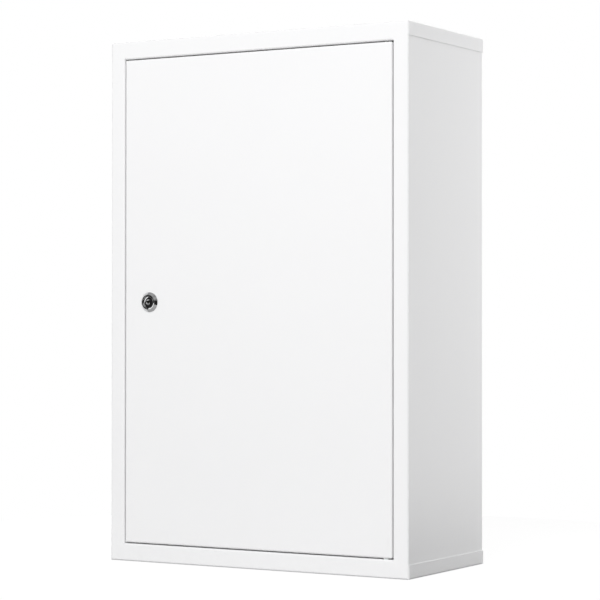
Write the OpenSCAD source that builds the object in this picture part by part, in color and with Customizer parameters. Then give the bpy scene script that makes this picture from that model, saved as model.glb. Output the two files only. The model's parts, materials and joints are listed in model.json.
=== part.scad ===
// Wall-hung steel medicine cabinet with one flush door, two shelves and a cam lock.
// Everything is folded from one gauge of sheet. The door turns on concealed corner
// pins at its right side, and the lock sits at the left, at mid height.
// Frame: +X to the right, +Y towards the wall, +Z up. The origin is the middle of the
// base of the whole object, lock head included.

/* [Cabinet] */
// Overall width, across the side skirts of the pans
cabinet_w = 300; // [240:1:420]
// Depth of the steel body, without the lock head
cabinet_d = 140; // [100:1:220]
// Overall height
cabinet_h = 460; // [380:1:640]
// Thickness of the folded sheet
sheet_t = 0.8; // [0.6:0.1:1.2]
// Inner radius of the folds
bend_r = 0.8; // [0.5:0.1:1.2]

/* [Front frame] */
// Width of each stile beside the door opening
stile_w = 15; // [10:0.5:30]
// Height of the rail above and below the door opening
rail_h = 15.5; // [14:0.5:30]
// How far the lip behind each jamb stands into the opening
stop_lip = 8; // [7:0.5:12]

/* [Pans] */
// Height of the side skirts and of the rear flange
skirt_h = 12; // [6:0.5:12]
// Outer radius of the two front corners, seen from above
pan_corner_r = 2.5; // [1.8:0.1:4]

/* [Wall holes] */
// Diameter of the four fixing holes in the back
wall_hole_d = 6.5; // [4:0.5:10]
// Distance of the holes from the sides
wall_hole_inset = 40; // [20:1:100]
// Distance of the holes from the top and from the base
wall_hole_drop = 40; // [25:1:80]

/* [Shelves] */
// Height of the lower shelf's upper face
lower_shelf_z = 153; // [60:1:190]
// Height of the upper shelf's upper face
upper_shelf_z = 306; // [260:1:340]
// Distance from the cabinet's face to the front edge of the shelves
shelf_setback = 24; // [24:1:60]
// Height of the front lip, which is turned down
shelf_front_lip = 12; // [5:0.5:20]
// Height of the rear lip, which is turned up
shelf_rear_lip = 10; // [5:0.5:20]
// Play at each end of a shelf and behind it
shelf_play = 0.8; // [0.4:0.1:2]
// Width of both legs of the ledges under the shelves
ledge_leg = 12; // [8:0.5:20]
// Sheet thickness of the ledges
ledge_t = 1.2; // [0.8:0.1:2]

/* [Door] */
// Gap all round between the door and the frame
door_gap = 1; // [0.8:0.1:2.5]
// Depth of the folded flanges of the door
door_flange = 14; // [12:0.5:20]
// Width of the lips turned in behind the flanges
door_lip = 8; // [7:0.5:12]
// Width of the slit where two lips meet at a corner
mitre_gap = 0.4; // [0.2:0.1:1]
// Thickness of the rubber door bumpers
bumper_h = 2.7; // [2:0.1:5]
// Diameter of the rubber door bumpers
bumper_d = 6; // [3:0.5:6]
// Distance of the bumpers from the ends of the opening
bumper_inset = 40; // [15:1:100]
// Gap between the bumpers and the closed door
bumper_gap = 0.3; // [0.2:0.1:1]

/* [Hinge] */
// Distance from the door's right edge to the hinge axis
pivot_inset = 7.1; // [6.8:0.1:9]
// Diameter of the hinge pins
pin_d = 2.5; // [2:0.1:3.5]
// Running clearance on the radius of pins and plug
running_fit = 0.05; // [0.03:0.01:0.1]
// Wall of the hinge bushes round the bore
bush_wall = 0.65; // [0.5:0.05:1]
// Height of the bushes inside the door
bush_h = 5; // [3:0.5:8]
// Thickness of the hinge brackets
bracket_t = 2; // [1.5:0.1:2.5]
// Width of the hinge brackets
bracket_w = 16; // [12:0.5:20]
// Length of the bracket's foot on the pan
bracket_foot = 10; // [6:0.5:20]

/* [Lock] */
// Distance from the door's left edge to the lock's axis
lock_inset = 26; // [22:0.5:45]
// Height of the lock's axis
lock_z = 229; // [210:1:240]
// Diameter of the lock head at the door
head_d = 17.5; // [17.5:0.5:24]
// Diameter of the front face of the lock head
head_face_d = 13; // [12.5:0.5:16]
// How far the lock head stands out of the door
head_h = 2.5; // [2:0.5:8]
// Thread diameter of the barrel
barrel_d = 16; // [15.5:0.5:17]
// Distance across the two flats of the barrel
barrel_flat = 13.8; // [13.8:0.1:15]
// Diameter of the turning plug
plug_d = 8.6; // [8:0.1:9]
// Width of the keyway
keyway_w = 3.8; // [3:0.1:5.5]
// Thickness of the keyway
keyway_t = 1.2; // [0.8:0.1:1.6]
// Distance across the flats of the lock nut
nut_flats = 22; // [20:0.5:24]
// Thickness of the lock nut
nut_h = 3.5; // [2:0.5:6]
// Side of the square end of the plug that drives the cam
drive_side = 5.6; // [5.4:0.1:5.8]
// Thickness of the cam
cam_t = 2; // [1.5:0.1:3]
// Width of the cam's arm
cam_w = 12; // [8:0.5:16]
// Clearance between the cam and the jamb lip that it locks behind
cam_gap = 0.5; // [0.3:0.1:2]
// Thread diameter of the cam screw
cam_screw_d = 4; // [3:0.5:4]

/* [Hidden] */
$fn = 64;

// How far a cutter runs past the face that it goes through
past = 1;
// Play between folded parts that are welded together
fold_gap = 0.3;
// Outer radius of the folds
fold_r = bend_r + sheet_t;

// The body of the object from its face to the wall
y_back = (cabinet_d + head_h) / 2;
y_face = y_back - cabinet_d;
// The shell stands inside the skirts of the pans
shell_w = cabinet_w - 2 * sheet_t;
opening_w = cabinet_w - 2 * stile_w;
opening_h = cabinet_h - 2 * rail_h;
// Depth of the jamb lip's front face, behind the cabinet's face
jamb_d = door_flange + bumper_gap + bumper_h;
// The rails are folded back into the opening as deep as the jambs
return_d = jamb_d + sheet_t;
// Slots that free the ends of that fold
relief_w = 0.8;

door_w = opening_w - 2 * door_gap;
door_z = rail_h + door_gap;
door_h = opening_h - 2 * door_gap;

shelf_w = shell_w - 2 * (sheet_t + shelf_play);
shelf_y = y_face + shelf_setback;
shelf_d = y_back - sheet_t - shelf_play - shelf_y;
ledge_end_gap = 1;

bush_r = pin_d / 2 + running_fit + bush_wall;
bush_head_rim = 0.5;
bush_head_r = bush_r + bush_head_rim;
bush_end = 0.8;
// The bush's head stands clear of the bend behind the door's face
bush_play = 0.1;
pivot_depth = fold_r + bush_head_r + bush_play;
pivot_x = door_w / 2 - pivot_inset;
pin_head_rim = 1;
pin_head_h = 1;
pin_tip = 0.5;
// Play between the pin's tip and the closed end of its bush
pin_end_play = 0.2;
// Play round the pin where it passes through the rail's return
pin_hole_play = 0.3;
bracket_bend = 1;
// The bracket's plate lies under the return, clear of its bend
bracket_z = rail_h - sheet_t;
bracket_play = 0.2;
// Room for a tool between the pin's head and the bracket's web
web_gap = 3.2;
bracket_reach = pivot_depth + pin_d / 2 + pin_head_rim + web_gap;

lock_x = -(door_w / 2 - lock_inset);
head_rim = 0.4;
head_chamfer = 0.3;
// Width of the flat ring round the recess that the plug's face lies in
face_ring = 1;
face_recess = 0.6;
recess_foot = 0.25;
collar_rim = 0.6;
collar_d = plug_d + 2 * collar_rim;
collar_h = 1.5;
end_play = 0.1;
barrel_fit = 0.1;
washer_t = 1;
washer_rim = 3;
washer_d = barrel_d + 2 * washer_rim;
stop_t = 1;
stop_rim = 2.8;
stop_r = drive_side / 2 + stop_rim;
stop_gap = 0.3;
stop_lug_w = 2.4;
lug_play = 0.1;
// Angle that the lug may turn past its 90 degrees at each end
stop_slack = 2;
lug_angle = atan(stop_lug_w / 2 / stop_r);
// Depth of the cam's front face, just behind the jamb lip
cam_depth = jamb_d + sheet_t + cam_gap;
barrel_l = cam_depth - stop_t - end_play;
// The cam's tip stops short of the jamb, by this much
cam_tip_gap = 1;
cam_l = lock_inset + door_gap - cam_tip_gap;
cam_rim = 4.6;
cam_hub_r = drive_side / 2 + cam_rim;
drive_short = 0.2;
cam_washer_t = 0.8;
cam_washer_rim = 2.5;
cam_washer_d = cam_screw_d + 2 * cam_washer_rim;
screw_head_rim = 1.6;
screw_head_d = cam_screw_d + 2 * screw_head_rim;
screw_head_h = 2.2;
screw_grip = 7;
wafer_count = 5;
wafer_t = 0.7;
wafer_step = 2;
wafer_w = 3.6;
wafer_fit = 0.05;
// Depth of the housing's grooves past the plug
wafer_groove = 1;
// How far the keyway runs past the last wafer
keyway_end = 0.8;
keyway_depth = (wafer_count - 1) * wafer_step + wafer_t + keyway_end;
keyway_bevel = 0.5;

// ---------------------------------------------------------------- shared shapes

// Rectangle from the origin with rounded corners, radii as
// [lower left, lower right, upper right, upper left].
module rounded(size, radii) {
    corners = [[0, 0], [size.x, 0], [size.x, size.y], [0, size.y]];
    difference() {
        square(size);
        for (i = [0:3])
            if (radii[i] > 0)
                translate(corners[i]) rotate(90 * i) corner_waste(radii[i]);
    }
}

// What rounding takes off a square corner at the origin.
module corner_waste(r) {
    difference() {
        translate([-past, -past]) square(r + past);
        translate([r, r]) circle(r);
    }
}

// Section of one folded sheet. It runs along +X with its thickness towards +Y, and
// turns[i] follows legs[i]: 90 folds it to the left, -90 to the right.
module fold(legs, turns, t, r, i = 0) {
    square([legs[i], t]);
    if (i < len(turns))
        translate([legs[i], 0])
            if (turns[i] > 0) {
                quarter_ring(r, t, [0, t + r], -90);
                translate([t + r, t + r]) rotate(90) fold(legs, turns, t, r, i + 1);
            } else {
                quarter_ring(r, t, [0, -r], 0);
                translate([r, -r]) rotate(-90) fold(legs, turns, t, r, i + 1);
            }
}

// Quarter of a ring from the given angle to 90 degrees past it.
module quarter_ring(r, t, centre, from) {
    translate(centre) rotate(from)
        intersection() {
            difference() {
                circle(r + t);
                circle(r);
            }
            square(r + t);
        }
}

// A section drawn as [depth, height] and swept along X, centred on x.
module along_x(length, x = 0) {
    translate([x - length / 2, 0, 0]) rotate([90, 0, 90]) linear_extrude(length) children();
}

// A section drawn as [x, height] and swept along Y from y0.
module along_y(length, y0) {
    translate([0, y0 + length, 0]) rotate([90, 0, 0]) linear_extrude(length) children();
}

// The same piece at the other end of the cabinet.
module flip_z() {
    translate([0, 0, cabinet_h]) mirror([0, 0, 1]) children();
}

// ---------------------------------------------------------------- body

// Closed section of the shell between the rails: lip, jamb, stile, side, back and so on.
module shell_section() {
    lip = stop_lip - bend_r;
    jamb = jamb_d - 2 * bend_r - sheet_t;
    stile = stile_w - sheet_t - 2 * fold_r;
    side = cabinet_d - 2 * fold_r;
    back = shell_w - 2 * fold_r;
    translate([-(opening_w / 2 - stop_lip), y_face + jamb_d + sheet_t]) rotate(180)
        fold([lip, jamb, stile, side, back, side, stile, jamb, lip],
             [90, -90, -90, -90, -90, -90, -90, 90], sheet_t, bend_r);
}

// Sides and back only, from depth d behind the cabinet's face.
module wrap_section(d) {
    side = cabinet_d - d - fold_r;
    translate([-(shell_w / 2 - sheet_t), y_face + d]) rotate(90)
        fold([side, shell_w - 2 * fold_r, side], [-90, -90], sheet_t, bend_r);
}

// A section of the shell swept between two heights that mirror each other.
module shell_band(z0) {
    translate([0, 0, z0]) linear_extrude(cabinet_h - 2 * z0) children();
}

module shell() {
    back_w = shell_w - 2 * fold_r;
    color("white") difference() {
        union() {
            shell_band(rail_h) shell_section();
            shell_band(skirt_h) wrap_section(sheet_t);
            shell_band(fold_r) wrap_section(pan_corner_r + fold_gap);
            // The back alone covers the rear folds of both pans
            translate([-back_w / 2, y_back - sheet_t, 0]) cube([back_w, sheet_t, cabinet_h]);
        }
        wall_holes();
    }
}

module wall_holes() {
    for (x = [-1, 1], z = [wall_hole_drop, cabinet_h - wall_hole_drop])
        translate([x * (cabinet_w / 2 - wall_hole_inset), y_back + past, z])
            rotate([90, 0, 0]) cylinder(d = wall_hole_d, h = sheet_t + 2 * past);
}

// Block with the pan's outline, in from its outside by the given amount, open upwards.
module pan_block(inset, top) {
    w = cabinet_w - 2 * inset;
    d = cabinet_d - sheet_t - 2 * inset;
    h = top - inset;
    edge = fold_r - inset;
    corner = pan_corner_r - inset;
    intersection() {
        translate([-w / 2, y_face + inset, inset])
            linear_extrude(h) rounded([w, d], [corner, corner, 0, 0]);
        along_x(w) translate([y_face + inset, inset]) rounded([d, h], [edge, edge, 0, 0]);
        along_y(d, y_face + inset) translate([-w / 2, inset]) rounded([w, h], [edge, edge, 0, 0]);
    }
}

// Pan with its walls up: rail at the front, skirts at the sides, flange at the rear.
module pan() {
    flange_w = shell_w - 2 * (fold_r + fold_gap);
    notch_w = (shell_w - flange_w) / 2;
    difference() {
        pan_block(0, skirt_h);
        pan_block(sheet_t, skirt_h + past);
        // The rear flange stands inside the sides of the shell
        for (x = [-shell_w / 2, flange_w / 2])
            translate([x, y_back - sheet_t - fold_r, sheet_t])
                cube([notch_w, fold_r + past, skirt_h]);
    }
    rail_ends();
    rail_return();
}

// The flat rail rises past the skirts. Its ends meet the stiles, and between them it stops
// below the fold.
module rail_ends() {
    difference() {
        translate([0, 0, skirt_h]) linear_extrude(rail_h - skirt_h)
            intersection() {
                translate([-shell_w / 2, y_face]) rounded([shell_w, cabinet_d], [fold_r, fold_r, 0, 0]);
                translate([-shell_w / 2, y_face]) square([shell_w, sheet_t]);
            }
        translate([-opening_w / 2, y_face - past, rail_h - fold_r - relief_w])
            cube([opening_w, sheet_t + 2 * past, fold_r + relief_w + past]);
    }
}

// Fold of the rail back into the opening. Behind the reliefs it runs on under the jambs.
module rail_return() {
    front = fold_r + relief_w;
    difference() {
        union() {
            along_x(opening_w - 2 * relief_w)
                translate([y_face + return_d, rail_h]) rotate(180)
                    fold([return_d - fold_r, rail_h - 2 * fold_r], [90], sheet_t, bend_r);
            translate([-opening_w / 2 - sheet_t, y_face + front, rail_h - sheet_t])
                cube([opening_w + 2 * sheet_t, return_d - front, sheet_t]);
        }
        at_pivot() translate([0, 0, rail_h - sheet_t - past])
            cylinder(d = pin_d + 2 * pin_hole_play, h = sheet_t + 2 * past);
    }
}

module bottom_pan() {
    color("white") pan();
}

module top_pan() {
    color("white") flip_z() pan();
}

// ---------------------------------------------------------------- shelves

// Tray folded in one piece: rear lip up, deck, front lip down.
module shelf(z) {
    rear = shelf_rear_lip - fold_r;
    deck = shelf_d - 2 * fold_r;
    front = shelf_front_lip - fold_r;
    color("white") along_x(shelf_w)
        translate([shelf_y + shelf_d - sheet_t, z - sheet_t + shelf_rear_lip]) rotate(-90)
            fold([rear, deck, front], [-90, 90], sheet_t, bend_r);
}

module upper_shelf() {
    shelf(upper_shelf_z);
}

module lower_shelf() {
    shelf(lower_shelf_z);
}

// Angle welded to a side wall, with its upper face under the shelf.
module ledge(side, z) {
    front = shelf_y + fold_r + ledge_end_gap;
    rear = shelf_y + shelf_d - fold_r - ledge_end_gap;
    leg = ledge_leg - bend_r - ledge_t;
    wall_x = shell_w / 2 - sheet_t;
    color("white") mirror([side < 0 ? 1 : 0, 0, 0])
        along_y(rear - front, front)
            translate([wall_x - ledge_leg, z - sheet_t]) mirror([0, 1])
                fold([leg, leg], [90], ledge_t, bend_r);
}

module upper_left_ledge() {
    ledge(-1, upper_shelf_z);
}

module upper_right_ledge() {
    ledge(1, upper_shelf_z);
}

module lower_left_ledge() {
    ledge(-1, lower_shelf_z);
}

module lower_right_ledge() {
    ledge(1, lower_shelf_z);
}

// ---------------------------------------------------------------- door

// Block with the door's outline, in from its outside by the given amount.
module door_block(inset) {
    w = door_w - 2 * inset;
    d = door_flange - 2 * inset;
    h = door_h - 2 * inset;
    r = fold_r - inset;
    round4 = [r, r, r, r];
    intersection() {
        translate([-w / 2, y_face + inset, door_z + inset])
            linear_extrude(h) rounded([w, d], round4);
        along_x(w) translate([y_face + inset, door_z + inset]) rounded([d, h], round4);
        along_y(d, y_face + inset) translate([-w / 2, door_z + inset]) rounded([w, h], round4);
    }
}

module door_pan() {
    window_w = door_w - 2 * door_lip;
    window_h = door_h - 2 * door_lip;
    color("white") difference() {
        door_block(0);
        door_block(sheet_t);
        // The lips turned in behind the flanges leave the back open
        translate([-window_w / 2, y_face + door_flange - fold_r, door_z + door_lip])
            cube([window_w, fold_r + past, window_h]);
        for (side = [0, 1]) mirror([side, 0, 0]) {
            lip_mitre();
            flip_z() lip_mitre();
        }
        at_lock() translate([0, 0, -sheet_t - past])
            double_d(barrel_d + 2 * barrel_fit, barrel_flat + 2 * barrel_fit, sheet_t + 2 * past);
        at_pivot() bush_hole();
        flip_z() at_pivot() bush_hole();
    }
}

// Slit between the two lips that meet at the lower right corner, from the bend to the window.
module lip_mitre() {
    inset = fold_r + mitre_gap;
    translate([door_w / 2 - inset, y_face + door_flange - fold_r, door_z + inset])
        rotate([0, 225, 0]) translate([0, 0, -mitre_gap / 2])
            cube([(door_lip - inset) * sqrt(2) + past, fold_r + past, mitre_gap]);
}

// Moves a shape drawn round the origin to the hinge axis.
module at_pivot() {
    translate([pivot_x, y_face + pivot_depth, 0]) children();
}

module bush_hole() {
    translate([0, 0, door_z - past]) cylinder(r = bush_r, h = sheet_t + 2 * past);
}

// Blind bush: shank in the door's flange, collar inside the door.
module bush() {
    at_pivot() rotate_extrude() polygon([
        [pin_d / 2 + running_fit, door_z],
        [bush_r, door_z],
        [bush_r, door_z + sheet_t],
        [bush_head_r, door_z + sheet_t],
        [bush_head_r, door_z + bush_h - pin_tip],
        [bush_head_r - pin_tip, door_z + bush_h],
        [0, door_z + bush_h],
        [0, door_z + bush_h - bush_end],
        [pin_d / 2 + running_fit, door_z + bush_h - bush_end]
    ]);
}

module lower_hinge_bush() {
    color("ivory") bush();
}

module upper_hinge_bush() {
    color("ivory") flip_z() bush();
}

// Z-shaped bracket: foot on the pan, web, and a plate under the rail's return for the pin.
module bracket() {
    plate = bracket_reach - fold_r - bracket_play;
    web = bracket_z - sheet_t - 2 * (bracket_t + bracket_bend);
    foot_y = y_face + bracket_reach + 2 * bracket_bend + bracket_t + bracket_foot;
    difference() {
        along_x(bracket_w, pivot_x)
            translate([foot_y, sheet_t + bracket_t]) rotate(180)
                fold([bracket_foot, web, plate], [-90, 90], bracket_t, bracket_bend);
        at_pivot() translate([0, 0, bracket_z - bracket_t - past])
            cylinder(d = pin_d, h = bracket_t + 2 * past);
    }
}

module lower_hinge_bracket() {
    color("white") bracket();
}

module upper_hinge_bracket() {
    color("white") flip_z() bracket();
}

// Pin with a flat head under the bracket's plate and a chamfered tip in the bush.
module pin() {
    r = pin_d / 2;
    head_r = r + pin_head_rim;
    top = door_z + bush_h - bush_end - pin_end_play;
    seat = bracket_z - bracket_t;
    at_pivot() rotate_extrude() polygon([
        [0, seat - pin_head_h],
        [head_r, seat - pin_head_h],
        [head_r, seat],
        [r, seat],
        [r, top - pin_tip],
        [r - pin_tip, top],
        [0, top]
    ]);
}

module lower_hinge_pin() {
    color("silver") pin();
}

module upper_hinge_pin() {
    color("silver") flip_z() pin();
}

// Rubber stop on the left jamb lip, at height z.
module bumper(z) {
    edge = bumper_h / 4;
    r = bumper_d / 2;
    color("dimgray") translate([-(opening_w - stop_lip) / 2, y_face + jamb_d, z]) rotate([90, 0, 0])
        rotate_extrude() intersection() {
            square([r, bumper_h]);
            translate([-r, -edge]) rounded([2 * r, bumper_h + edge], [0, 0, edge, edge]);
        }
}

module lower_door_bumper() {
    bumper(rail_h + bumper_inset);
}

module upper_door_bumper() {
    bumper(cabinet_h - rail_h - bumper_inset);
}

// ---------------------------------------------------------------- lock

// Moves a shape drawn with the lock's axis along Z, front face up, into the door.
module at_lock() {
    translate([lock_x, y_face, lock_z]) rotate([90, 0, 0]) children();
}

// Cylinder with two flats, standing on the origin.
module double_d(d, flats, h) {
    intersection() {
        cylinder(d = d, h = h);
        translate([-flats / 2, -d, 0]) cube([flats, 2 * d, h]);
    }
}

// Pie slice from angle a0 to a1, wide enough to cut right through the barrel.
module slice(a0, a1) {
    mid = (a0 + a1) / 2;
    polygon(concat([[0, 0]], [for (a = [a0, mid, a1]) barrel_d * [cos(a), sin(a)]]));
}

// Housing: tapered head, double-D barrel, and the ring at its end that stops the lug.
module lock_body() {
    stop_ring_r = stop_r + stop_gap;
    color("darkgray") at_lock() difference() {
        union() {
            rotate_extrude() polygon([
                [0, 0],
                [head_d / 2, 0],
                [head_d / 2, head_rim],
                [head_face_d / 2, head_h - head_chamfer],
                [head_face_d / 2 - head_chamfer, head_h],
                [head_face_d / 2 - face_ring, head_h],
                [collar_d / 2 + recess_foot, head_h - face_recess],
                [0, head_h - face_recess]
            ]);
            translate([0, 0, -barrel_l]) double_d(barrel_d, barrel_flat, barrel_l);
            translate([0, 0, -barrel_l - stop_t]) difference() {
                double_d(barrel_d, barrel_flat, stop_t);
                translate([0, 0, -past]) cylinder(r = stop_ring_r, h = stop_t + past);
                translate([0, 0, -past]) linear_extrude(stop_t + past)
                    slice(-lug_angle - stop_slack, 90 + lug_angle + stop_slack);
            }
        }
        // Bore for the plug, with a seat for its collar
        translate([0, 0, -barrel_l - past])
            cylinder(r = plug_d / 2 + running_fit, h = barrel_l + head_h + past);
        translate([0, 0, head_h - face_recess - collar_h - end_play])
            cylinder(r = collar_d / 2 + running_fit, h = collar_h + past);
        // Grooves that the wafers lock into
        translate([-plug_d / 2 - wafer_groove, -wafer_w / 2 - wafer_fit, -keyway_depth])
            cube([plug_d + 2 * wafer_groove, wafer_w + 2 * wafer_fit, keyway_depth]);
    }
}

module lock_washer() {
    color("silver") at_lock() translate([0, 0, -sheet_t - washer_t]) difference() {
        cylinder(d = washer_d, h = washer_t);
        translate([0, 0, -past]) cylinder(d = barrel_d + 2 * barrel_fit, h = washer_t + 2 * past);
    }
}

module lock_nut() {
    color("silver") at_lock() translate([0, 0, -sheet_t - washer_t - nut_h]) difference() {
        intersection() {
            cylinder(d = nut_flats / cos(30), h = nut_h, $fn = 6);
            nut_chamfer();
        }
        translate([0, 0, -past]) cylinder(d = barrel_d, h = nut_h + 2 * past);
    }
}

// Turned blank that takes the points off the nut's rear face.
module nut_chamfer() {
    r = nut_flats / 2 / cos(30);
    cut = r - nut_flats / 2;
    rotate_extrude() polygon([[0, 0], [nut_flats / 2, 0], [r, cut], [r, nut_h], [0, nut_h]]);
}

// Places the slots and the wafers along the plug.
module each_wafer() {
    for (i = [0:wafer_count - 1]) translate([0, 0, -i * wafer_step]) children();
}

module lock_plug() {
    face = head_h - face_recess;
    drive_l = end_play + stop_t + cam_t - drive_short;
    color("gray") at_lock() difference() {
        union() {
            translate([0, 0, face - collar_h]) cylinder(d = collar_d, h = collar_h);
            translate([0, 0, -barrel_l]) cylinder(d = plug_d, h = barrel_l + face);
            translate([-drive_side / 2, -drive_side / 2, -barrel_l - drive_l])
                cube([drive_side, drive_side, drive_l + past]);
        }
        // Keyway, with a bevelled mouth in the dished face
        translate([-keyway_w / 2, -keyway_t / 2, -keyway_depth])
            cube([keyway_w, keyway_t, keyway_depth + face + past]);
        translate([0, 0, face - keyway_bevel])
            cylinder(r1 = keyway_w / 2, r2 = keyway_w / 2 + keyway_bevel + past,
                     h = keyway_bevel + past);
        each_wafer()
            translate([-plug_d, -wafer_w / 2 - wafer_fit, -wafer_t - wafer_fit])
                cube([2 * plug_d, wafer_w + 2 * wafer_fit, wafer_t + 2 * wafer_fit]);
        // Thread of the cam screw
        translate([0, 0, -barrel_l - drive_l - past])
            cylinder(d = cam_screw_d, h = drive_l + past + screw_grip);
    }
}

// Flat plates that the key lines up, each with a window for the key.
module lock_wafers() {
    color("goldenrod") at_lock() each_wafer() translate([0, 0, -wafer_t]) difference() {
        intersection() {
            cylinder(d = plug_d, h = wafer_t);
            translate([-plug_d / 2, -wafer_w / 2, 0]) cube([plug_d, wafer_w, wafer_t]);
        }
        translate([-keyway_w / 2, -keyway_t / 2, -past]) cube([keyway_w, keyway_t, wafer_t + 2 * past]);
    }
}

// Washer on the square, with the lug that turns inside the ring of the housing.
module stop_washer() {
    lug_reach = barrel_flat / 2 - lug_play;
    color("silver") at_lock() translate([0, 0, -cam_depth]) difference() {
        union() {
            cylinder(r = stop_r, h = stop_t);
            translate([-stop_lug_w / 2, 0, 0]) cube([stop_lug_w, lug_reach, stop_t]);
        }
        drive_hole(stop_t);
    }
}

// Square hole for the end of the plug, through a piece of thickness t.
module drive_hole(t) {
    translate([-drive_side / 2, -drive_side / 2, -past]) cube([drive_side, drive_side, t + 2 * past]);
}

// Tongue that hangs down when the lock is open.
module cam() {
    end_r = cam_w / 2;
    color("silver") at_lock() translate([0, 0, -cam_depth - cam_t]) difference() {
        linear_extrude(cam_t) {
            circle(cam_hub_r);
            translate([-end_r, -(cam_l - end_r)]) square([cam_w, cam_l - end_r]);
            translate([0, -(cam_l - end_r)]) circle(end_r);
        }
        drive_hole(cam_t);
    }
}

module cam_washer() {
    color("silver") at_lock() translate([0, 0, -cam_depth - cam_t - cam_washer_t]) difference() {
        cylinder(d = cam_washer_d, h = cam_washer_t);
        translate([0, 0, -past]) cylinder(d = cam_screw_d, h = cam_washer_t + 2 * past);
    }
}

// Pan-head screw with a cross recess, clamping the cam to the plug.
module cam_screw() {
    seat = cam_depth + cam_t + cam_washer_t;
    tip = barrel_l - screw_grip + past;
    edge = 0.6;
    slot_w = 0.9;
    slot_depth = 1.2;
    color("silver") at_lock() difference() {
        union() {
            translate([0, 0, -seat]) cylinder(d = cam_screw_d, h = seat - tip);
            translate([0, 0, -seat - screw_head_h]) rotate_extrude() intersection() {
                square([screw_head_d / 2, screw_head_h]);
                translate([-screw_head_d / 2, 0])
                    rounded([screw_head_d, screw_head_h + edge], [edge, edge, 0, 0]);
            }
        }
        for (a = [0, 90])
            rotate(a) translate([-screw_head_d / 4, -slot_w / 2, -seat - screw_head_h - past])
                cube([screw_head_d / 2, slot_w, slot_depth + past]);
    }
}

// ---------------------------------------------------------------- nodes

shell();
top_pan();
bottom_pan();
upper_shelf();
lower_shelf();
upper_left_ledge();
upper_right_ledge();
lower_left_ledge();
lower_right_ledge();
upper_hinge_bracket();
lower_hinge_bracket();
upper_hinge_pin();
lower_hinge_pin();
upper_door_bumper();
lower_door_bumper();
door_pan();
upper_hinge_bush();
lower_hinge_bush();
lock_body();
lock_washer();
lock_nut();
lock_plug();
lock_wafers();
stop_washer();
cam();
cam_washer();
cam_screw();
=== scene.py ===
"""Looks of a steel medicine cabinet: painted sheet, a plated cam lock, and the studio round it."""
import json
import math

import bmesh
import bpy
import numpy as np
from mathutils import Matrix, Vector


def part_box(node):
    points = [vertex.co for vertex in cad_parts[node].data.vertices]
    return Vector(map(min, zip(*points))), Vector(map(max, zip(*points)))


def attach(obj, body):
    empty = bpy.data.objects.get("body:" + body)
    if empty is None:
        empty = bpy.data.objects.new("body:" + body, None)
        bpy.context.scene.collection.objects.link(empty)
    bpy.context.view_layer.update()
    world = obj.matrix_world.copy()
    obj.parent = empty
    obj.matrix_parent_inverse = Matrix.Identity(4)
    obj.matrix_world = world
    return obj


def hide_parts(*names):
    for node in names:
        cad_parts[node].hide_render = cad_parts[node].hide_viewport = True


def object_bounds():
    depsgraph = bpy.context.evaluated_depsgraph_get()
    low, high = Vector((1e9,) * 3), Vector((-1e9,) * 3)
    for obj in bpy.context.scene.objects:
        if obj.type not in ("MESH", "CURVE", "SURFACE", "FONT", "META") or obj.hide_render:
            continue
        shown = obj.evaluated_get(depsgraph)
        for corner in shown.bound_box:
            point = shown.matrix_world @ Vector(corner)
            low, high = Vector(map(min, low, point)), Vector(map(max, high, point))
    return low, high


bl_info = {
    "name": "Steel Medicine Cabinet",
    "version": (1, 0, 0),
    "blender": (4, 5, 0),
    "location": "3D View > Sidebar > Cabinet",
    "description": "Paints the cabinet's sheet metal, cuts the cam lock's threads and sets up a studio",
    "category": "Object",
}

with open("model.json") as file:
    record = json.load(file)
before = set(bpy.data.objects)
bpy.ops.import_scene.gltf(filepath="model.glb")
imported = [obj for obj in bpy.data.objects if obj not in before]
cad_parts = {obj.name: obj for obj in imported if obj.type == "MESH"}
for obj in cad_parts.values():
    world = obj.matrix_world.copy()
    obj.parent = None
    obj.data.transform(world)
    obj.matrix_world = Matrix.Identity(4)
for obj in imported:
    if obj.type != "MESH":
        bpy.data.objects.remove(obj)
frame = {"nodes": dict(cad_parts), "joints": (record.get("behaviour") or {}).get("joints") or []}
CAD_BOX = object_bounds()
JOINTS = {joint["name"]: joint for joint in frame["joints"]}

FULL_TURN = 2 * math.pi
WHITE = (1.0, 1.0, 1.0, 1.0)

PAINTED = (
    "shell", "top_pan", "bottom_pan", "door_pan",
    "upper_shelf", "lower_shelf",
    "upper_left_ledge", "upper_right_ledge", "lower_left_ledge", "lower_right_ledge",
    "upper_hinge_bracket", "lower_hinge_bracket",
)


# ---------------------------------------------------------------- shader maths

class Wire:
    """A socket of a node tree. Arithmetic on it adds Math nodes."""

    def __init__(self, tree, socket):
        self.tree = tree
        self.socket = socket

    def math(self, operation, *values):
        return add_node(self.tree, "ShaderNodeMath", {"operation": operation}, dict(enumerate(values)))

    def __add__(self, other):
        return self.math("ADD", self, other)

    def __radd__(self, other):
        return self.math("ADD", other, self)

    def __sub__(self, other):
        return self.math("SUBTRACT", self, other)

    def __rsub__(self, other):
        return self.math("SUBTRACT", other, self)

    def __mul__(self, other):
        return self.math("MULTIPLY", self, other)

    def __rmul__(self, other):
        return self.math("MULTIPLY", other, self)

    def clamp(self):
        """The value, held between 0 and 1."""
        return self.math("MINIMUM", self.math("MAXIMUM", self, 0.0), 1.0)


def add_node(tree, kind, settings=None, inputs=None, output=0):
    """Adds a node, sets its properties first, fills its sockets, and returns one output."""
    node = tree.nodes.new(kind)
    for key, value in (settings or {}).items():
        setattr(node, key, value)
    for key, value in (inputs or {}).items():
        if isinstance(value, Wire):
            tree.links.new(value.socket, node.inputs[key])
        else:
            node.inputs[key].default_value = value
    return Wire(tree, node.outputs[output])


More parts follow.
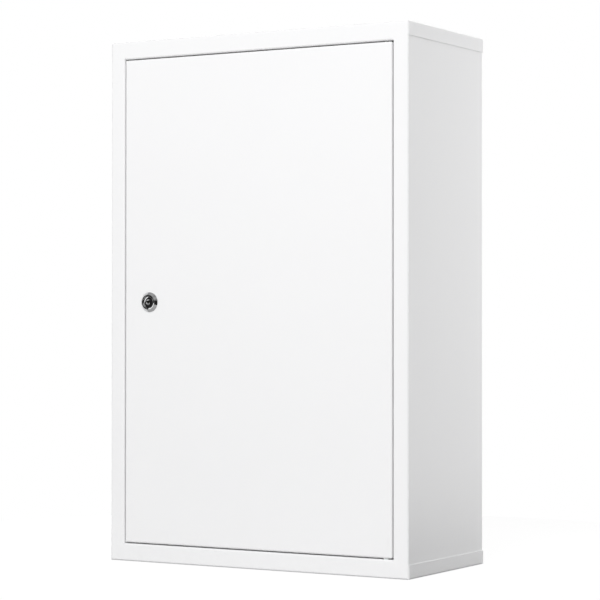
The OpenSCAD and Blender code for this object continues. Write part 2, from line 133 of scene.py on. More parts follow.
class Finish:
    """A material with one Principled shader, and the nodes that feed it."""

    def __init__(self, name, **constants):
        self.material = bpy.data.materials.new(name)
        self.material.use_nodes = True
        self.tree = self.material.node_tree
        self.shader = self.tree.nodes["Principled BSDF"]
        for name, value in constants.items():
            socket = name.replace("_", " ").title().replace("Ior", "IOR")
            self.shader.inputs[socket].default_value = value

    def node(self, kind, settings=None, inputs=None, output=0):
        return add_node(self.tree, kind, settings, inputs, output)

    def feed(self, socket, wire):
        self.tree.links.new(wire.socket, self.shader.inputs[socket])

    def place(self):
        """Object coordinates, which are metres in the cabinet's own frame."""
        return self.node("ShaderNodeTexCoord", output="Object")

    def noise(self, scale, detail=2.0, roughness=0.5):
        """Cloudy pattern with the given number of patches to a metre."""
        inputs = {"Vector": self.place(), "Scale": scale, "Detail": detail, "Roughness": roughness}
        return self.node("ShaderNodeTexNoise", {"normalize": True}, inputs, "Fac")

    def bump(self, height, depth):
        """Relief whose full height is depth metres."""
        inputs = {"Height": height, "Distance": depth, "Strength": 1.0}
        return self.node("ShaderNodeBump", None, inputs, "Normal")

    def tint(self, amount, dark, light):
        """Colour that runs from dark to light with the amount."""
        factor, first, second, result = 0, 6, 7, 2
        inputs = {factor: amount, first: (*dark, 1.0), second: (*light, 1.0)}
        return self.node("ShaderNodeMix", {"data_type": "RGBA", "blend_type": "MIX"}, inputs, result)


def shade_of(colour, factor):
    """The same colour, lighter or darker by a factor."""
    return tuple(min(1.0, channel * factor) for channel in colour)


# ---------------------------------------------------------------- finishes

def powder_coat(paint):
    """White powder coat: fine orange peel, and a gloss that varies a little."""
    finish = Finish("powder_coat", specular_ior_level=0.5)
    broad = finish.noise(scale=14.0, detail=3.0)
    peel = finish.noise(scale=1.0 / paint.peel_size, roughness=0.55)
    finish.feed("Base Color", finish.tint(broad, shade_of(paint.colour, 0.988), paint.colour))
    finish.feed("Roughness", paint.roughness - 0.04 + 0.08 * broad)
    finish.feed("Normal", finish.bump(peel, paint.peel_depth))
    return finish.material


def chrome_plate(name, metal, roughness):
    """Polished chrome with the faint rings that turning leaves round the lock's axis."""
    finish = Finish(name, metallic=1.0)
    axis = tuple(-place for place in JOINTS["lock_turn"]["pos_m"])
    centred = finish.node("ShaderNodeMapping", {"vector_type": "POINT"},
                          {"Vector": finish.place(), "Location": axis})
    rings = finish.node("ShaderNodeTexWave", {"wave_type": "RINGS", "rings_direction": "Y"},
                        {"Vector": centred, "Scale": 1100.0, "Distortion": 1.2, "Detail": 2.0}, "Fac")
    cloud = finish.noise(scale=420.0, detail=3.0, roughness=0.6)
    finish.feed("Base Color", finish.tint(cloud, shade_of(metal.colour, 0.93), metal.colour))
    finish.feed("Roughness", roughness + 0.03 * cloud)
    finish.feed("Normal", finish.bump(rings, depth=0.15e-6))
    return finish.material


def zinc_plate(metal):
    """Bright zinc: pale grey with cloudy patches and rolling lines."""
    finish = Finish("zinc_plate", metallic=1.0)
    cloud = finish.noise(scale=180.0, detail=4.0, roughness=0.6)
    grain = finish.noise(scale=3000.0)
    finish.feed("Base Color", finish.tint(cloud, shade_of(metal.zinc, 0.82), metal.zinc))
    finish.feed("Roughness", 0.24 + 0.16 * cloud)
    finish.feed("Normal", finish.bump(grain, depth=1.5e-6))
    return finish.material


def turned_steel(metal):
    """Pin steel with the rings that a lathe leaves across its length."""
    finish = Finish("turned_steel", metallic=1.0)
    inputs = {"Vector": finish.place(), "Scale": 1500.0, "Distortion": 1.5, "Detail": 2.0}
    rings = finish.node("ShaderNodeTexWave", {"wave_type": "BANDS", "bands_direction": "Z"}, inputs, "Fac")
    finish.feed("Base Color", finish.tint(rings, shade_of(metal.zinc, 0.92), metal.zinc))
    finish.feed("Roughness", 0.22 + 0.1 * rings)
    finish.feed("Normal", finish.bump(rings, depth=1.0e-6))
    return finish.material


def wafer_brass():
    """Brass of the plates in the plug, dull and cloudy, with its colour darkened as painted shade that
    stands in for the keyway's shadow on the plates.
    """
    finish = Finish("wafer_brass", metallic=1.0)
    cloud = finish.noise(scale=500.0, detail=3.0)
    # painted shade: both brass tones are darkened to stand in for the shadow deep in the narrow keyway
    finish.feed("Base Color", finish.tint(cloud, (0.2, 0.14, 0.06), (0.3, 0.21, 0.1)))
    finish.feed("Roughness", 0.4 + 0.14 * cloud)
    finish.feed("Normal", finish.bump(finish.noise(scale=2600.0), depth=1.5e-6))
    return finish.material


def nylon(name, colour):
    """Moulded nylon, a little cloudy."""
    finish = Finish(name, subsurface_weight=0.15, subsurface_scale=0.001)
    cloud = finish.noise(scale=300.0)
    finish.feed("Base Color", finish.tint(cloud, shade_of(colour, 0.9), colour))
    finish.feed("Roughness", 0.42 + 0.12 * cloud)
    finish.feed("Normal", finish.bump(finish.noise(scale=1800.0), depth=3.0e-6))
    return finish.material


def moulded_rubber():
    """Matt black rubber with a fine grain."""
    finish = Finish("moulded_rubber")
    grain = finish.noise(scale=2400.0, detail=3.0, roughness=0.6)
    finish.feed("Base Color", finish.tint(grain, (0.018, 0.018, 0.019), (0.034, 0.034, 0.035)))
    finish.feed("Roughness", 0.68 + 0.14 * grain)
    finish.feed("Normal", finish.bump(grain, depth=8.0e-6))
    return finish.material


def wear(piece, material):
    """Gives a piece its one material."""
    if not piece.material_slots:
        piece.data.materials.append(material)
    for slot in piece.material_slots:
        slot.material = material


# ---------------------------------------------------------------- meshes

def grid_faces(rows, columns, wrap_rows):
    """Corner numbers of the quads of a grid whose columns always wrap round."""
    last = rows if wrap_rows else rows - 1
    row, column = np.meshgrid(np.arange(last), np.arange(columns), indexing="ij")
    next_row = (row + 1) % rows
    next_column = (column + 1) % columns
    corners = (row * columns + column, row * columns + next_column,
               next_row * columns + next_column, next_row * columns + column)
    return np.stack(corners, axis=-1).reshape(-1, 4)


def surface_piece(name, points, wrap_rows=False, sharp_degrees=32.0):
    """A closed mesh from a grid of points, rows by columns by 3. Points that coincide, as at
    a pole, are merged, faces are turned outwards, and edges over the angle stay crisp."""
    rows, columns, _ = points.shape
    mesh = bpy.data.meshes.new(name)
    mesh.from_pydata(points.reshape(-1, 3), [], grid_faces(rows, columns, wrap_rows))
    cleaner = bmesh.new()
    cleaner.from_mesh(mesh)
    bmesh.ops.remove_doubles(cleaner, verts=cleaner.verts, dist=1e-8)
    bmesh.ops.recalc_face_normals(cleaner, faces=cleaner.faces)
    cleaner.to_mesh(mesh)
    cleaner.free()
    mesh.shade_smooth()
    mesh.set_sharp_from_angle(angle=math.radians(sharp_degrees))
    piece = bpy.data.objects.new(name, mesh)
    bpy.context.scene.collection.objects.link(piece)
    return piece


def join_pieces(name, pieces):
    """One piece from several, which are used up."""
    mesh = bpy.data.meshes.new(name)
    joined = bmesh.new()
    for piece in pieces:
        joined.from_mesh(piece.data)
        bpy.data.objects.remove(piece)
    joined.to_mesh(mesh)
    joined.free()
    piece = bpy.data.objects.new(name, mesh)
    bpy.context.scene.collection.objects.link(piece)
    return piece


def rounded_path(corners, steps=5, support=0.3):
    """A path through corners (x, y, radius): straight between them, and at each a circular arc
    that touches both sides, so the arc's ends lie radius / tan(half the angle) from the corner.
    A point a little outside each end of an arc keeps the shading of the straight part flat."""
    path = []
    for i, (x, y, radius) in enumerate(corners):
        here = np.array([x, y])
        if radius == 0 or i in (0, len(corners) - 1):
            path.append(here[None])
            continue
        to_last = np.array(corners[i - 1][:2]) - here
        to_next = np.array(corners[i + 1][:2]) - here
        to_last = to_last / np.linalg.norm(to_last)
        to_next = to_next / np.linalg.norm(to_next)
        half = math.acos(np.clip(to_last @ to_next, -1, 1)) / 2
        bisector = (to_last + to_next) / np.linalg.norm(to_last + to_next)
        centre = here + bisector * radius / math.sin(half)
        reach = radius / math.tan(half)
        start = here + to_last * reach - centre
        end = here + to_next * reach - centre
        share = np.linspace(0, 1, steps + 1)[:, None]
        angle = math.pi - 2 * half
        arc = (np.sin((1 - share) * angle) * start + np.sin(share * angle) * end) / math.sin(angle)
        outside = here + np.stack([to_last, to_next]) * (reach + support * radius)
        path += [outside[:1], centre + arc, outside[1:]]
    return np.concatenate(path)


def round_lock(rows, turn):
    """Grid points round the lock's axis. Each row is a radius and a height in front of the
    door's face, the same all round or one for each angle in turn."""
    x0, y0, z0 = JOINTS["lock_turn"]["pos_m"]
    radius = np.stack([np.broadcast_to(row[0], turn.shape) for row in rows])
    height = np.stack([np.broadcast_to(row[1], turn.shape) for row in rows])
    return np.stack([x0 + radius * np.cos(turn), y0 - height, z0 + radius * np.sin(turn)], axis=-1)


def angles(count, *extra):
    """Even angles round a full turn, with more where an outline has a corner."""
    even = np.arange(count) * FULL_TURN / count
    return np.unique(np.concatenate([even, np.mod(extra, FULL_TURN)]))


def threaded_flats(lock, depth, turn):
    """Radius of the barrel, depth metres behind the door's face. The thread is a triangle wave of
    depth / pitch - turn / full turn with its crests and roots cut flat, and the two flats then limit the
    radius to half their distance over the cosine of the angle."""
    flank_slope, root_cut = 2.4, 0.5
    phase = np.mod(depth / lock.thread_pitch - turn / FULL_TURN, 1.0)
    crest = np.clip(flank_slope * np.abs(2 * phase - 1) - root_cut, 0.0, 1.0)
    round_side = lock.barrel_d / 2 - lock.thread_depth * (1 - crest)
    flat_side = lock.barrel_flats / 2 / np.maximum(np.abs(np.cos(turn)), 1e-6)
    return np.minimum(round_side, flat_side)


def lock_heights():
    """Heights in front of the door's face, from the frame: the head's front, the plug's front,
    and the rear ends of the housing and of the plug."""
    face = JOINTS["lock_turn"]["pos_m"][1]
    body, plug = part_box("lock_body"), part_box("lock_plug")
    return face - body[0].y, face - plug[0].y, face - body[1].y, face - plug[1].y


def housing_rows(lock, turn):
    """Section of the lock's housing, closed, for each angle: up the bore, over the coved recess
    and the tapered head with every edge rounded, back along the threaded barrel, and round the
    ring at its end, which is left out over the quarter turn in which the lug moves."""
    head_h, _, rear, _ = lock_heights()
    low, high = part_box("lock_body")
    head_r = (high.x - low.x) / 2
    barrel_end = rear + lock.stop_ring_l
    bore = lock.collar_d / 2 + lock.play
    seat = head_h - lock.recess - lock.collar_l
    foot = head_h - lock.cove_depth
    edge = lock.edge_radius
    head = rounded_path([
        (bore, seat, 0), (bore, foot, 0), (bore + lock.cove_foot, foot, edge),
        (lock.ring_inner_d / 2, head_h - lock.ring_dish, edge), (lock.face_d / 2, head_h, edge),
        (head_r, lock.head_rim, edge), (head_r, 0.0, 0),
    ])
    plug_bore = lock.plug_d / 2 + lock.play
    rows = [(plug_bore, barrel_end), (plug_bore, seat), *head]
    rows_in_pitch = 8
    count = round(-barrel_end / lock.thread_pitch * rows_in_pitch)
    for height in np.linspace(0.0, barrel_end, count):
        rows.append((threaded_flats(lock, -height, turn), height))
    first, last = (math.radians(angle) for angle in lock.stop_slot)
    in_slot = np.mod(turn - first, FULL_TURN) < last - first
    end = np.where(in_slot, barrel_end, rear)
    outside = threaded_flats(lock, -barrel_end, turn)
    return rows + [(outside, end), (lock.stop_ring_d / 2, end), (lock.stop_ring_d / 2, barrel_end)]


def bulge(radius, rim, slope):
    """Height of a ball's surface over the circle where its slope is the given angle. The ball's
    radius is rim / sin(slope), and the height is the root of its square less the radius's."""
    ball = rim / math.sin(slope)
    return np.sqrt(ball ** 2 - np.square(radius)) - math.sqrt(ball ** 2 - rim ** 2)


def plug_rows(lock, turn):
    """Section of the turning plug for each angle, from the middle of its square rear end, over
    its crowned face and the dish round the keyway, to the bottom of the keyway. The square and
    the keyway are the smaller of half a side over the cosine and half a side over the sine."""
    _, front, body_rear, rear = lock_heights()
    barrel_end = body_rear + lock.stop_ring_l
    cosine = np.maximum(np.abs(np.cos(turn)), 1e-6)
    sine = np.maximum(np.abs(np.sin(turn)), 1e-6)
    square = lock.drive_side / 2 / np.maximum(cosine, sine)
    keyway = np.minimum(lock.keyway_w / 2 / cosine, lock.keyway_t / 2 / sine)
    collar, dish = lock.collar_d / 2, lock.dish_d / 2
    rows = [(0.0, rear), (square, rear), (square, barrel_end), (lock.plug_d / 2, barrel_end),
            (lock.plug_d / 2, front - lock.collar_l), (collar, front - lock.collar_l)]
    crown, curve_rows = collar - dish, 14
    crown_top = front - bulge(0.0, crown, lock.crown_slope)
    for out in np.linspace(crown, 0.0, curve_rows):
        rows.append((dish + out, crown_top + bulge(out, crown, lock.crown_slope)))
    for share in np.linspace(0.0, 1.0, curve_rows):
        radius = dish + (keyway - dish) * share
        rows.append((radius, front - bulge(radius, dish, lock.dish_slope)))
    return rows + [(keyway, front - lock.keyway_depth), (0.0, front - lock.keyway_depth)]


def fold_section(radius, fold, straight):
    """Points (depth, height) along a quarter fold, with straight ends: up the face, round the
    circle of the given radius whose middle lies fold behind the face and fold below the edge,
    and back along the flange."""
    arc_points = 9
    turn = np.linspace(math.pi, math.pi / 2, arc_points)
    arc = np.stack([fold + radius * np.cos(turn), radius * np.sin(turn) - fold], axis=-1)
    return np.concatenate([arc[:1] - (0, straight), arc, arc[-1:] + (straight, 0)])


def corner_weld(sheet, side, top):
    """Filled slit beside the end of a rail's fold: the fold's section, outside and inside as
    one closed loop, carried along X over the slit's width."""
    edge_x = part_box("door_pan")[1].x + sheet.door_gap
    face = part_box("shell")[0].y
    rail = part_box("top_pan")[0].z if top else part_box("bottom_pan")[1].z
    outside = fold_section(sheet.fold_radius - sheet.weld_sink, sheet.fold_radius, sheet.slit)
    inside = fold_section(sheet.fold_radius - sheet.gauge, sheet.fold_radius, sheet.slit)
    depth, height = np.concatenate([outside, inside[::-1]]).T
    middle = np.full_like(depth, depth.mean()), np.full_like(height, height.mean())
    inner, outer = edge_x - sheet.slit, edge_x
    rows = [(inner, *middle), (inner, depth, height), (outer, depth, height), (outer, *middle)]
    up = -1 if top else 1
    points = [np.stack(np.broadcast_arrays(side * x, face + y, rail + up * z), axis=-1)
              for x, y, z in rows]
    return surface_piece("corner_weld", np.stack(points))


def hinge_washer(sheet):
    """Nylon washer on the lower pin, between the rail and the door: a ring whose square section
    has rounded outer edges, turned round the hinge's axis."""
    x0, y0, _ = JOINTS["door_hinge"]["pos_m"]
    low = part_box("bottom_pan")[1].z + sheet.washer_play
    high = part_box("door_pan")[0].z - sheet.washer_play
    bore, rim = sheet.washer_bore / 2, sheet.washer_d / 2
    edge = (high - low) / 4
    section = rounded_path([(bore, low, 0), (rim, low, edge), (rim, high, edge), (bore, high, 0)])
    turn = angles(64)
    radius, height = (column[:, None] for column in section.T)
    ring = x0 + radius * np.cos(turn), y0 + radius * np.sin(turn), height
    points = np.stack(np.broadcast_arrays(*ring), axis=-1)
    return surface_piece("lower_hinge_washer", points, wrap_rows=True)


# ---------------------------------------------------------------- settings

def length(name, description, default):
    """Property for a size in metres."""
    return bpy.props.FloatProperty(name=name, description=description, unit="LENGTH",
                                   subtype="DISTANCE", min=0.0, precision=5, default=default)


class SheetSettings(bpy.types.PropertyGroup):
    """Sizes of the folded sheet round the door, which are those of the construction, and of the
    filled slits and the washer under the door, which only the looks have."""

    gauge: length("Gauge", "Thickness of the sheet", 0.0008)
    fold_radius: length("Fold", "Outer radius of the folds", 0.0016)
    slit: length("Slit", "Width of the slits at the ends of the rails' folds", 0.0008)
    door_gap: length("Door gap", "Gap between the door and the opening", 0.001)
    weld_sink: length("Weld sink", "How far the filled slits lie below the sheet", 0.00004)
    washer_d: length("Hinge washer", "Outer diameter of the washer under the door", 0.0046)
    washer_bore: length("Washer bore", "Bore of the washer under the door", 0.0028)
    washer_play: length("Washer play", "Play above and below that washer", 0.00002)


class PaintSettings(bpy.types.PropertyGroup):
    """Powder coat of the sheet metal."""

    colour: bpy.props.FloatVectorProperty(
        name="Paint colour", description="Colour of the powder coat", subtype="COLOR",
        size=3, min=0.0, max=1.0, default=(0.9, 0.9, 0.905))
    roughness: bpy.props.FloatProperty(
        name="Gloss loss", description="Roughness of the paint", subtype="FACTOR",
        min=0.05, max=1.0, default=0.36)
    peel_size: bpy.props.FloatProperty(
        name="Orange peel size", description="Distance from one bump of the paint to the next",
        unit="LENGTH", subtype="DISTANCE", min=0.0002, max=0.01, default=0.0013)
    peel_depth: bpy.props.FloatProperty(
        name="Orange peel depth", description="Height of the bumps of the paint",
        unit="LENGTH", subtype="DISTANCE", min=0.0, max=0.0001, precision=6, default=0.000006)


class LockSettings(bpy.types.PropertyGroup):
    """Sizes and metals of the cam lock. The sizes are close to those of the construction. The
    thread, the rounded edges, the dished ring, the hollow, the crown and the dish are added here."""

    colour: bpy.props.FloatVectorProperty(
        name="Chrome colour", description="Colour of the plate on the head and the plug",
        subtype="COLOR", size=3, min=0.0, max=1.0, default=(0.74, 0.745, 0.75))
    zinc: bpy.props.FloatVectorProperty(
        name="Zinc colour", description="Colour of the plate on nut, cam, screw and pins",
        subtype="COLOR", size=3, min=0.0, max=1.0, default=(0.6, 0.61, 0.62))
    face_d: length("Face", "Diameter of the front face of the head", 0.013)
    head_rim: length("Rim", "Height of the head's rim on the door", 0.0004)
    ring_inner_d: length("Ring", "Inner diameter of the ring on the face", 0.0112)
    ring_dish: length("Ring dish", "How far the ring's inner edge lies behind its outer one", 0.00024)
    recess: length("Recess", "How far the plug's face lies behind the ring", 0.0006)
    cove_depth: length("Cove", "Depth of the hollow between the ring and the plug", 0.0012)
    cove_foot: length("Cove foot", "Width of the bottom of that hollow", 0.0003)
    edge_radius: length("Edges", "Radius of the turned edges", 0.00016)
    collar_d: length("Collar", "Diameter of the plug's front collar", 0.0098)
    collar_l: length("Collar length", "Length of the plug's front collar", 0.0015)
    plug_d: length("Plug", "Diameter of the turning plug", 0.0086)
    play: length("Play", "Play between the plug and its bore, on the radius", 0.00005)
    barrel_d: length("Barrel", "Thread diameter of the barrel", 0.016)
    barrel_flats: length("Flats", "Distance across the flats of the barrel", 0.0138)
    thread_pitch: length("Pitch", "Pitch of the barrel's thread", 0.001)
    thread_depth: length("Thread depth", "Depth of the barrel's thread", 0.00045)
    stop_ring_d: length("Stop ring", "Inner diameter of the ring that stops the lug", 0.0118)
    stop_ring_l: length("Stop ring length", "Length of the ring that stops the lug", 0.001)
    stop_slot: bpy.props.FloatVectorProperty(
        name="Stop slot", description="Angles between which the ring is open, in degrees",
        size=2, default=(-14.1, 104.1))
    drive_side: length("Square", "Side of the plug's square end", 0.0056)
    keyway_w: length("Keyway width", "Width of the keyway", 0.0039)
    keyway_t: length("Keyway thickness", "Thickness of the keyway", 0.0013)
    keyway_depth: length("Keyway depth", "Depth of the keyway from the plug's face", 0.0114)
    dish_d: length("Dish", "Diameter of the dish round the keyway", 0.005)
    dish_slope: bpy.props.FloatProperty(
        name="Dish slope", description="Slope of the dish at its edge", subtype="ANGLE",
        default=math.radians(35))
    crown_slope: bpy.props.FloatProperty(
        name="Crown slope", description="Slope of the plug's crowned face at its outer edge",
        subtype="ANGLE", default=math.radians(20))


def watts(name, description, default):
    """Property for the power of a lamp."""
    return bpy.props.FloatProperty(name=name, description=description, unit="POWER",
                                   min=0.0, max=500.0, default=default)


class StudioSettings(bpy.types.PropertyGroup):
    """Camera, lamps and background."""

    lens: bpy.props.FloatProperty(
        name="Lens", description="Focal length for a 36 mm wide sensor", unit="CAMERA",
        min=20.0, max=400.0, default=130.9)
    place: bpy.props.FloatVectorProperty(
        name="Camera place", description="Where the camera stands", subtype="XYZ_LENGTH",
        size=3, default=(0.9847, -1.65595, 0.2117))
    yaw: bpy.props.FloatProperty(
        name="Camera yaw", description="How far the camera turns left of the back wall",
        subtype="ANGLE", default=math.radians(30.6))
    pitch: bpy.props.FloatProperty(
        name="Camera pitch", description="How far the camera looks up",
        subtype="ANGLE", default=math.radians(0.575))
    roll: bpy.props.FloatProperty(
        name="Camera roll", description="How far the camera is tilted sideways",
        subtype="ANGLE", default=math.radians(0.03))
    ambient: bpy.props.FloatProperty(
        name="Ambient", description="Strength of the even light from all round",
        min=0.0, max=2.0, default=0.32)
    key: watts("Key lamp", "Power of the large lamp at the front", 46.5)
    strip: watts("Strip lamp", "Power of the leaning strip that the lock mirrors", 1.15)
    side: watts("Side lamps", "Power of the lamp at either side, behind", 1.35)
    back: watts("Rear lamp", "Power of the lamp behind the cabinet", 16.0)


class CabinetSettings(bpy.types.PropertyGroup):
    """All settings, in groups."""

    sheet: bpy.props.PointerProperty(type=SheetSettings)
    paint: bpy.props.PointerProperty(type=PaintSettings)
    lock: bpy.props.PointerProperty(type=LockSettings)
    studio: bpy.props.PointerProperty(type=StudioSettings)


# ---------------------------------------------------------------- operators

class CABINET_OT_paint_sheet_metal(bpy.types.Operator):
    """Paint every folded and welded piece of sheet"""

    bl_idname = "cabinet.paint_sheet_metal"
    bl_label = "Paint sheet metal"

    def execute(self, context):
        paint = powder_coat(context.scene.cabinet.paint)
        for node in PAINTED:
            wear(frame["nodes"][node], paint)
        return {"FINISHED"}


class CABINET_OT_fill_corners(bpy.types.Operator):
    """Fill the slits at the four corners of the door's opening, and paint them"""

    bl_idname = "cabinet.fill_corners"
    bl_label = "Fill corners"

    def execute(self, context):
        sheet = context.scene.cabinet.sheet
        welds = [corner_weld(sheet, side, top) for side in (-1, 1) for top in (False, True)]
        piece = join_pieces("corner_welds", welds)
        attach(piece, "cabinet")
        wear(piece, bpy.data.materials["powder_coat"])
        return {"FINISHED"}


class CABINET_OT_finish_hardware(bpy.types.Operator):
    """Finish the hinge pins, bushes and door bumpers"""

    bl_idname = "cabinet.finish_hardware"
    bl_label = "Finish hardware"

    def execute(self, context):
        steel = turned_steel(context.scene.cabinet.lock)
        natural_nylon = nylon("natural_nylon", (0.8, 0.78, 0.72))
        rubber = moulded_rubber()
        for end in ("upper", "lower"):
            wear(frame["nodes"][f"{end}_hinge_pin"], steel)
            wear(frame["nodes"][f"{end}_hinge_bush"], natural_nylon)
            wear(frame["nodes"][f"{end}_door_bumper"], rubber)
        washer = hinge_washer(context.scene.cabinet.sheet)
        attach(washer, "cabinet")
        wear(washer, nylon("white_nylon", (0.92, 0.92, 0.9)))
        return {"FINISHED"}


class CABINET_OT_turn_lock(bpy.types.Operator):
    """Turn the lock's housing and plug, with rounded edges and a thread, and plate them"""

    bl_idname = "cabinet.turn_lock"
    bl_label = "Turn lock"

    def execute(self, context):
        lock = context.scene.cabinet.lock
        wall = 1e-5  # half the turn over which a wall of the stop slot rises
        walls = [math.radians(angle) + side for angle in lock.stop_slot for side in (-wall, wall)]
        around = angles(120, *walls)
        points = round_lock(housing_rows(lock, around), around)
        housing = surface_piece("lock_housing", points, wrap_rows=True)

        corner = math.atan2(lock.keyway_t, lock.keyway_w)
        around = angles(96, corner, math.pi - corner, math.pi + corner, -corner)
        plug = surface_piece("lock_cylinder", round_lock(plug_rows(lock, around), around))

        polish = 0.03
        for piece, node, body, slot, finish in (
                (housing, "lock_body", "door", "lock_chrome", "head_chrome"),
                (plug, "lock_plug", "lock_core", "plug_chrome", "plug_chrome")):
            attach(piece, body)
            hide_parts(node)
            wear(piece, chrome_plate(finish, lock, polish))
        return {"FINISHED"}


class CABINET_OT_finish_lock(bpy.types.Operator):
    """Finish the plain parts of the cam lock"""

    bl_idname = "cabinet.finish_lock"
    bl_label = "Finish lock"

    def execute(self, context):
        lock = context.scene.cabinet.lock
        # the plates wear brass darkened as painted shade of the keyway
        wear(frame["nodes"]["lock_wafers"], wafer_brass())
        zinc = zinc_plate(lock)
        for node in ("lock_washer", "lock_nut", "stop_washer", "cam", "cam_washer", "cam_screw"):
            wear(frame["nodes"][node], zinc)
        return {"FINISHED"}


class CABINET_OT_stage(bpy.types.Operator):
    """Add the floor, the studio light and the camera at the photograph's angle"""

    bl_idname = "cabinet.stage"
    bl_label = "Set the stage"

    def execute(self, context):
        studio = context.scene.cabinet.studio
        add_camera(context, studio)
        add_floor(context)
        add_world(context, studio.ambient)
        add_lamp(context, "key_lamp", studio.key,
                 place=(0.4, -2.2, 1.15), size=(1.3, 1.1), mirrored=False)
        add_lamp(context, "strip_lamp", studio.strip,
                 place=(-1.345, -0.976, 0.625), size=(0.34, 0.86), lean=math.radians(-27))
        for name, side in (("right_lamp", 1), ("left_lamp", -1)):
            add_lamp(context, name, studio.side, place=(side * 0.45, 0.35, 0.29), size=(0.2, 0.9))
        add_lamp(context, "rear_lamp", studio.back, place=(-0.8, 2.2, 1.2), size=(2.4, 2.4))
        context.scene.view_settings.view_transform = "Standard"
        return {"FINISHED"}


def add_camera(context, studio):
    """Camera that looks along +Y, turned left by yaw, up by pitch and over by roll."""
    lens = bpy.data.cameras.new("camera")
    lens.sensor_width = 36.0
    lens.lens = studio.lens
    lens.clip_start = 0.01
    camera = bpy.data.objects.new("camera", lens)
    turn = (Matrix.Rotation(studio.yaw, 4, "Z") @ Matrix.Rotation(math.pi / 2 + studio.pitch, 4, "X")
            @ Matrix.Rotation(studio.roll, 4, "Z"))
    camera.matrix_world = Matrix.Translation(studio.place) @ turn
    context.scene.collection.objects.link(camera)
    context.scene.camera = camera


def add_floor(context):
    """Plain round table top under the cabinet."""
    radius = 0.5
    turn = angles(128)
    mesh = bpy.data.meshes.new("floor")
    rim = np.stack([radius * np.cos(turn), radius * np.sin(turn), 0 * turn], axis=-1)
    mesh.from_pydata(rim, [], [range(len(turn))])
    floor = bpy.data.objects.new("floor", mesh)
    context.scene.collection.objects.link(floor)
    mesh.materials.append(floor_finish())


def ray_kinds(tree):
    """Masks of the rays that come from the camera, from a mirror and through glass."""
    ray = tree.nodes.new("ShaderNodeLightPath")
    return [Wire(tree, ray.outputs[f"Is {kind} Ray"]) for kind in ("Camera", "Glossy", "Transmission")]


def floor_finish():
    """White floor. What the camera sees of it is lifted towards the white background, and
    the object's shadow stays. Polished metal sees it lifted less, as a floor in the shade."""
    lifted, lifted_in_metal = 0.75, 0.1
    shade, glow_strength = 0.42, 1.22
    material = bpy.data.materials.new("pale_floor")
    material.use_nodes = True
    tree = material.node_tree
    tree.nodes.clear()
    matt = add_node(tree, "ShaderNodeBsdfDiffuse", None, {"Color": (shade, shade, shade, 1.0)})
    glow = add_node(tree, "ShaderNodeEmission", None, {"Color": WHITE, "Strength": glow_strength})
    camera_ray, glossy_ray, through_ray = ray_kinds(tree)
    lift = (camera_ray + through_ray) * lifted + glossy_ray * lifted_in_metal
    mixed = add_node(tree, "ShaderNodeMixShader", None, {0: lift, 1: matt, 2: glow})
    out = tree.nodes.new("ShaderNodeOutputMaterial")
    tree.links.new(mixed.socket, out.inputs["Surface"])
    return material


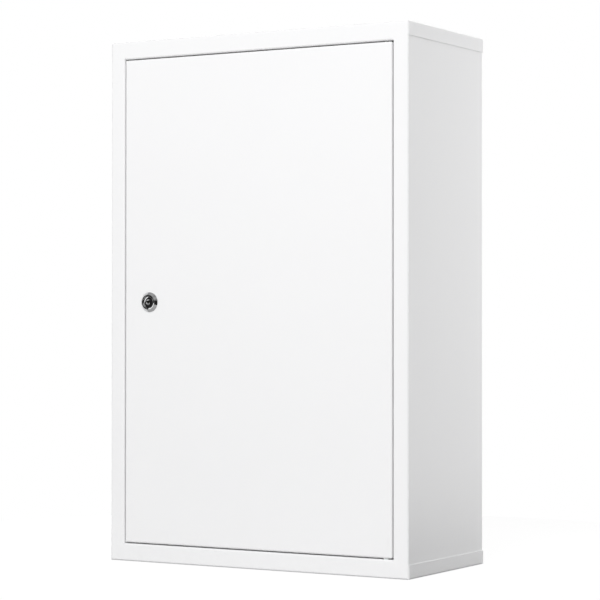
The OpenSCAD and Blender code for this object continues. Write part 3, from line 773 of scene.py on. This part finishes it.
def add_world(context, ambient):
    """Even light from all round. The camera sees plain white. Polished metal sees white behind
    the object, a grey ceiling, and behind the camera a dark room with a pale patch in it, where
    the key lamp stands."""
    world = bpy.data.worlds.new("studio")
    context.scene.world = world
    world.use_nodes = True
    tree = world.node_tree
    tree.nodes.clear()
    camera_ray, glossy_ray, through_ray = ray_kinds(tree)
    towards = add_node(tree, "ShaderNodeTexCoord", output="Generated")
    depth = add_node(tree, "ShaderNodeSeparateXYZ", None, {0: towards}, "Y")
    height = add_node(tree, "ShaderNodeSeparateXYZ", None, {0: towards}, "Z")
    behind = (depth * 2.2 + 0.45).clamp()
    ceiling_light, patch_light, darkest = 0.5, 0.55, 0.02
    ceiling = (height * 1.4 - 0.5).clamp() * ceiling_light
    patch_middle, patch_edge = (0.35, -0.85, 0.39), 0.86
    aim = add_node(tree, "ShaderNodeVectorMath", {"operation": "DOT_PRODUCT"},
                   {0: towards, 1: patch_middle}, "Value")
    patch = ((aim - patch_edge) * 10).clamp() * patch_light
    room = behind.math("MAXIMUM", behind, ceiling) * (1 - darkest) + darkest + patch
    white = camera_ray.math("MAXIMUM", camera_ray, through_ray)
    strength = white + (1 - white) * (glossy_ray * room + (1 - glossy_ray) * ambient)
    glow = add_node(tree, "ShaderNodeBackground", None, {"Color": WHITE, "Strength": strength})
    out = tree.nodes.new("ShaderNodeOutputWorld")
    tree.links.new(glow.socket, out.inputs["Surface"])


def add_lamp(context, name, power, place, size, lean=0.0, mirrored=True):
    """Soft rectangular lamp aimed at the middle of the cabinet, turned over by the lean. Polished
    metal doesn't show it unless it is mirrored."""
    lamp = bpy.data.lights.new(name, "AREA")
    lamp.shape = "RECTANGLE"
    lamp.size, lamp.size_y = size
    lamp.energy = power
    holder = bpy.data.objects.new(name, lamp)
    low, high = CAD_BOX
    aim = (low + high) / 2 - Vector(place)
    turn = aim.to_track_quat("-Z", "Y").to_matrix().to_4x4() @ Matrix.Rotation(lean, 4, "Z")
    holder.matrix_world = Matrix.Translation(place) @ turn
    holder.visible_glossy = mirrored
    context.scene.collection.objects.link(holder)


class CABINET_PT_sidebar(bpy.types.Panel):
    """Buttons for each step, and the settings that they read"""

    bl_idname = "CABINET_PT_sidebar"
    bl_label = "Medicine Cabinet"
    bl_space_type = "VIEW_3D"
    bl_region_type = "UI"
    bl_category = "Cabinet"

    def draw(self, context):
        settings = context.scene.cabinet
        for group in (settings.sheet, settings.paint, settings.lock, settings.studio):
            box = self.layout.box()
            for name in group.bl_rna.properties.keys():
                if name not in ("rna_type", "name"):
                    box.prop(group, name)
        for operator in STEPS:
            self.layout.operator(operator.bl_idname)


STEPS = (
    CABINET_OT_paint_sheet_metal,
    CABINET_OT_fill_corners,
    CABINET_OT_finish_hardware,
    CABINET_OT_turn_lock,
    CABINET_OT_finish_lock,
    CABINET_OT_stage,
)
CLASSES = (SheetSettings, PaintSettings, LockSettings, StudioSettings, CabinetSettings,
           *STEPS, CABINET_PT_sidebar)


def register():
    for cls in CLASSES:
        bpy.utils.register_class(cls)
    bpy.types.Scene.cabinet = bpy.props.PointerProperty(type=CabinetSettings)


def unregister():
    del bpy.types.Scene.cabinet
    for cls in reversed(CLASSES):
        bpy.utils.unregister_class(cls)


def main():
    register()
    for operator in STEPS:
        category, name = operator.bl_idname.split(".")
        getattr(getattr(bpy.ops, category), name)()


if __name__ == "__main__":
    main()
